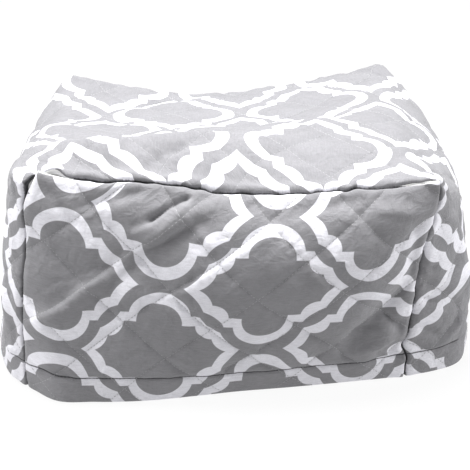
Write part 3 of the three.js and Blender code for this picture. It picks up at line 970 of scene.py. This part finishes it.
def painted_seam_shade(nodes):
    """Mask of painted shade: 1 down in a seam or in the groove of the hem stitching, where the cloth's
    colour is turned near black to stand in for the shade there.
    """
    edge, foot, place = coordinates(nodes, "lines")
    # Noise that makes the width of the painted seam shade wander.
    shade_wobble = nodes.add("ShaderNodeTexNoise", {"Vector": place, "Scale": 0.5, "Detail": 2.0}).outputs[0]
    reach = nodes.math("ADD", nodes.math("MULTIPLY", shade_wobble, 0.9), 0.35)
    seam = nodes.math("SUBTRACT", reach, edge)
    seam = nodes.math("ADD", nodes.math("MULTIPLY", seam, 1.6), 0.5, clamp=True)
    off = nodes.math("ABSOLUTE", nodes.math("SUBTRACT", foot, HEM))
    hem = nodes.math("SUBTRACT", nodes.math("MULTIPLY", reach, 0.75), off)
    hem = nodes.math("ADD", nodes.math("MULTIPLY", hem, 2.0), 0.5, clamp=True)
    return nodes.math("MAXIMUM", seam, nodes.math("MULTIPLY", hem, 0.9))


def weave(nodes, place):
    """Height of a plain weave with threads 0.5 mm apart, uneven along their length."""
    uneven = nodes.add("ShaderNodeTexNoise", {"Vector": place, "Scale": 0.35, "Detail": 3.0}).outputs[0]
    parts = nodes.add("ShaderNodeSeparateXYZ", {0: place})
    waves = []
    for part in (0, 1):
        moved = nodes.math("ADD", parts.outputs[part], nodes.math("MULTIPLY", uneven, 0.6))
        turns = nodes.math("MULTIPLY", moved, 2 * math.pi / 0.55)
        waves.append(nodes.math("SINE", turns))
    return nodes.math("MULTIPLY", waves[0], waves[1])


def printed_cloth(name, grey, white):
    """Cotton printed with the trellis, with its weave, stitched grooves and slight unevenness, and
    painted shade down in the seams and the hem's stitched groove.
    """
    material = bpy.data.materials.new(name)
    nodes = Nodes(material)
    long, short, place = coordinates(nodes, "print")
    first = white_line(nodes, long, short)
    shifted = (nodes.math("ADD", long, PITCH_LONG / 2), nodes.math("ADD", short, PITCH_SHORT / 2))
    second = white_line(nodes, *shifted)
    line = nodes.math("MAXIMUM", first, second)
    blotch = nodes.add("ShaderNodeTexNoise", {"Vector": place, "Scale": 0.03, "Detail": 4.0}).outputs[0]
    fleck = nodes.add("ShaderNodeTexNoise", {"Vector": place, "Scale": 1.4, "Detail": 2.0}).outputs[0]
    slub_place = nodes.vector("MULTIPLY", place, (0.14, 0.8, 0.0))
    slub = nodes.add("ShaderNodeTexNoise", {"Vector": slub_place, "Scale": 1.0, "Detail": 3.0}).outputs[0]
    shade = nodes.math("ADD", nodes.math("MULTIPLY", blotch, 0.30), nodes.math("MULTIPLY", fleck, 0.34))
    shade = nodes.math("ADD", nodes.math("ADD", shade, nodes.math("MULTIPLY", slub, 0.36)), 0.50)
    printed = nodes.mix(line, grey, white)
    groove = quilt_groove(nodes)
    # The quilting lines' tone, a mid grey in the stitched grooves.
    stitch_tone_and_seam_shade = nodes.mix(nodes.math("MULTIPLY", groove, 0.14), printed, (0.42, 0.42, 0.43, 1))
    # Painted shade: the colour turns near black down in the seams and in the hem's stitched groove.
    stitch_tone_and_seam_shade = nodes.mix(nodes.math("MULTIPLY", painted_seam_shade(nodes), 0.9), stitch_tone_and_seam_shade, (0.02, 0.02, 0.022, 1))
    colour = nodes.add("ShaderNodeHueSaturation", {"Color": stitch_tone_and_seam_shade, "Value": shade, "Saturation": 1.0})
    threads = weave(nodes, place)
    height = nodes.math("ADD", nodes.math("MULTIPLY", threads, 0.05), nodes.math("MULTIPLY", fleck, 0.10))
    height = nodes.math("SUBTRACT", height, nodes.math("MULTIPLY", groove, 0.35))
    crumple = nodes.add(
        "ShaderNodeTexNoise",
        {"Vector": place, "Scale": 0.09, "Detail": 5.0, "Roughness": 0.55, "Distortion": 0.6},
    ).outputs[0]
    height = nodes.math("ADD", height, nodes.math("MULTIPLY", crumple, 4.0))
    bump = nodes.add("ShaderNodeBump", {"Height": height, "Strength": 0.75, "Distance": 0.0008})
    rough = nodes.math("ADD", nodes.math("MULTIPLY", fleck, 0.12), 0.78)
    shader = nodes.add(
        "ShaderNodeBsdfPrincipled",
        {
            "Base Color": colour.outputs[0],
            "Roughness": rough,
            "Normal": bump.outputs[0],
            "Specular IOR Level": 0.25,
            "Sheen Weight": 0.12,
            "Sheen Roughness": 0.5,
        },
    )
    nodes.add("ShaderNodeOutputMaterial", {"Surface": shader.outputs[0]})
    return material


def backing_cloth():
    """The plain, unprinted cloth on the inside."""
    material = bpy.data.materials.new("backing_cloth")
    nodes = Nodes(material)
    _, _, place = coordinates(nodes, "print")
    fleck = nodes.add("ShaderNodeTexNoise", {"Vector": place, "Scale": 1.1, "Detail": 3.0}).outputs[0]
    tone = nodes.mix(fleck, (0.60, 0.60, 0.60, 1), (0.70, 0.70, 0.69, 1))
    groove = quilt_groove(nodes)
    height = nodes.math("SUBTRACT", nodes.math("MULTIPLY", weave(nodes, place), 0.08),
                        nodes.math("MULTIPLY", groove, 0.5))
    bump = nodes.add("ShaderNodeBump", {"Height": height, "Strength": 0.6, "Distance": 0.0007})
    shader = nodes.add(
        "ShaderNodeBsdfPrincipled",
        {
            "Base Color": tone,
            "Roughness": 0.9,
            "Normal": bump.outputs[0],
            "Specular IOR Level": 0.2,
            "Sheen Weight": 0.1,
        },
    )
    nodes.add("ShaderNodeOutputMaterial", {"Surface": shader.outputs[0]})
    return material


def sewing_thread(name, colour, paler):
    """Twisted cotton thread."""
    material = bpy.data.materials.new(name)
    nodes = Nodes(material)
    place = nodes.add("ShaderNodeTexCoord").outputs["Object"]
    twist = nodes.add("ShaderNodeTexNoise", {"Vector": place, "Scale": 900.0, "Detail": 2.0}).outputs[0]
    tone = nodes.mix(twist, colour, paler)
    bump = nodes.add("ShaderNodeBump", {"Height": twist, "Strength": 0.4, "Distance": 0.0002})
    shader = nodes.add(
        "ShaderNodeBsdfPrincipled",
        {"Base Color": tone, "Roughness": 0.65, "Normal": bump.outputs[0], "Specular IOR Level": 0.3},
    )
    nodes.add("ShaderNodeOutputMaterial", {"Surface": shader.outputs[0]})
    return material


GREY = (0.217, 0.215, 0.226, 1)
WHITE = (0.69, 0.685, 0.73, 1)
PRINT = printed_cloth("printed_cloth", GREY, WHITE)
BACKING = backing_cloth()

PIECES = {
    "front_panel_cloth": ("front_panel", "panel_cloth", panel_arrays("front", 1.7), False,
                          (WIDTH * MM, HEIGHT * MM)),
    "back_panel_cloth": ("back_panel", "panel_cloth", panel_arrays("back", 2.6), True,
                         (WIDTH * MM, HEIGHT * MM)),
    "gusset_strip_cloth": ("gusset_strip", "strip_cloth", strip_arrays(), False,
                           (STRIP * MM, DEPTH * MM)),
}
for piece_name, (node_name, slot_name, arrays, is_turned, flat) in PIECES.items():
    piece = cloth_object(piece_name, arrays, is_turned)
    piece.data.materials.append(PRINT)
    piece.data.materials.append(BACKING)
    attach(piece, "root")
    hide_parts(node_name)


def finish_thread(thread):
    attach(thread, "root")


def hem_stitches(lines, low, high):
    """Starts of stitches along lines across the tall way of a piece, as (place along, line)."""
    at = np.arange(low + 2, high - 2 - STITCH, STITCH_STEP)
    return np.concatenate([np.stack([at, at * 0 + line], -1) for line in lines])


def add_stitches():
    """The quilting's stitches and those of the hem, on the outer face of each piece."""
    quilt_thread = sewing_thread("quilting_thread", (0.29, 0.29, 0.30, 1), (0.46, 0.46, 0.47, 1))
    hem_thread = sewing_thread("hem_thread", (0.05, 0.05, 0.055, 1), (0.12, 0.12, 0.13, 1))
    for node_name, slot_name, arrays, is_turned, flat in PIECES.values():
        quilt = arrays[4]
        is_strip = node_name == "gusset_strip"
        columns = quilt[0, :, 1] if is_strip else quilt[0, :, 0]
        rows = quilt[:, 0, 0] if is_strip else quilt[:, 0, 1]
        wide = rows if is_strip else columns
        tall = columns if is_strip else rows
        cloth = (arrays[0], rows, columns, is_turned)
        starts, ways = quilt_stitches((wide[0] + 2, wide[-1] - 2), (tall[0] + 3, tall[-1] - 3))
        if is_strip:
            lines = [foot - STRIP_QUILT[1] for foot in (HEM, STRIP - HEM)]
        else:
            lines = [HEM - PANEL_QUILT[1]]
        hem_starts = hem_stitches(lines, wide[0], wide[-1])
        hem_ways = np.tile([1.0, 0.0], (len(hem_starts), 1))
        if not is_strip:
            starts, ways, hem_starts, hem_ways = [
                pair[:, ::-1] for pair in (starts, ways, hem_starts, hem_ways)
            ]
        prefix = node_name.split("_")[0]
        thread = stitch_object(prefix + "_quilt_stitches", cloth, starts, ways, quilt_thread)
        finish_thread(thread)
        thread = stitch_object(prefix + "_hem_stitches", cloth, hem_starts, hem_ways, hem_thread)
        finish_thread(thread)


add_stitches()


def add_floor():
    mesh = bpy.data.meshes.new("floor")
    reach = 20.0
    corners = [(-reach, -reach, 0), (reach, -reach, 0), (reach, reach, 0), (-reach, reach, 0)]
    mesh.from_pydata(corners, [], [(0, 1, 2, 3)])
    floor = bpy.data.objects.new("floor", mesh)
    floor.location.z = -0.0005
    bpy.context.scene.collection.objects.link(floor)
    material = bpy.data.materials.new("floor")
    nodes = Nodes(material)
    grain = nodes.add("ShaderNodeTexNoise", {"Scale": 3.0}).outputs[0]
    tone = nodes.mix(grain, (0.05, 0.05, 0.05, 1), (0.06, 0.06, 0.06, 1))
    shader = nodes.add(
        "ShaderNodeBsdfPrincipled",
        {
            "Base Color": tone,
            "Roughness": 1.0,
            "Specular IOR Level": 0.0,
            "Emission Color": (1, 1, 1, 1),
            "Emission Strength": 0.92,
        },
    )
    nodes.add("ShaderNodeOutputMaterial", {"Surface": shader.outputs[0]})
    mesh.materials.append(material)


def add_light(name, place, aim, size, power):
    data = bpy.data.lights.new(name, "AREA")
    data.shape = "DISK"
    data.size = size
    data.energy = power
    light = bpy.data.objects.new(name, data)
    light.location = place
    direction = np.array(place) - np.array(aim)
    level_reach = math.hypot(direction[0], direction[1])
    tilt = math.atan2(level_reach, direction[2])
    turn = math.atan2(direction[0], -direction[1])
    light.rotation_euler = (tilt, 0, turn)
    bpy.context.scene.collection.objects.link(light)


def add_world():
    world = bpy.data.worlds.new("world")
    world.use_nodes = True
    background = world.node_tree.nodes["Background"]
    background.inputs["Color"].default_value = (0.98, 0.99, 1.0, 1)
    background.inputs["Strength"].default_value = 0.18
    bpy.context.scene.world = world


add_floor()
add_light("top_light", (-0.15, 0.06, 1.9), (0, 0, 0.15), 0.9, 80.0)
add_light("front_light", (-1.5, -0.9, 1.2), (0, 0, 0.1), 1.0, 18.0)
add_light("left_light", (-1.8, 0.1, 0.8), (-0.1, 0, 0.1), 1.0, 12.0)
add_light("right_light", (1.8, -0.2, 0.9), (0.1, 0, 0.1), 1.0, 30.0)
add_world()
bpy.context.scene.view_settings.view_transform = "Standard"
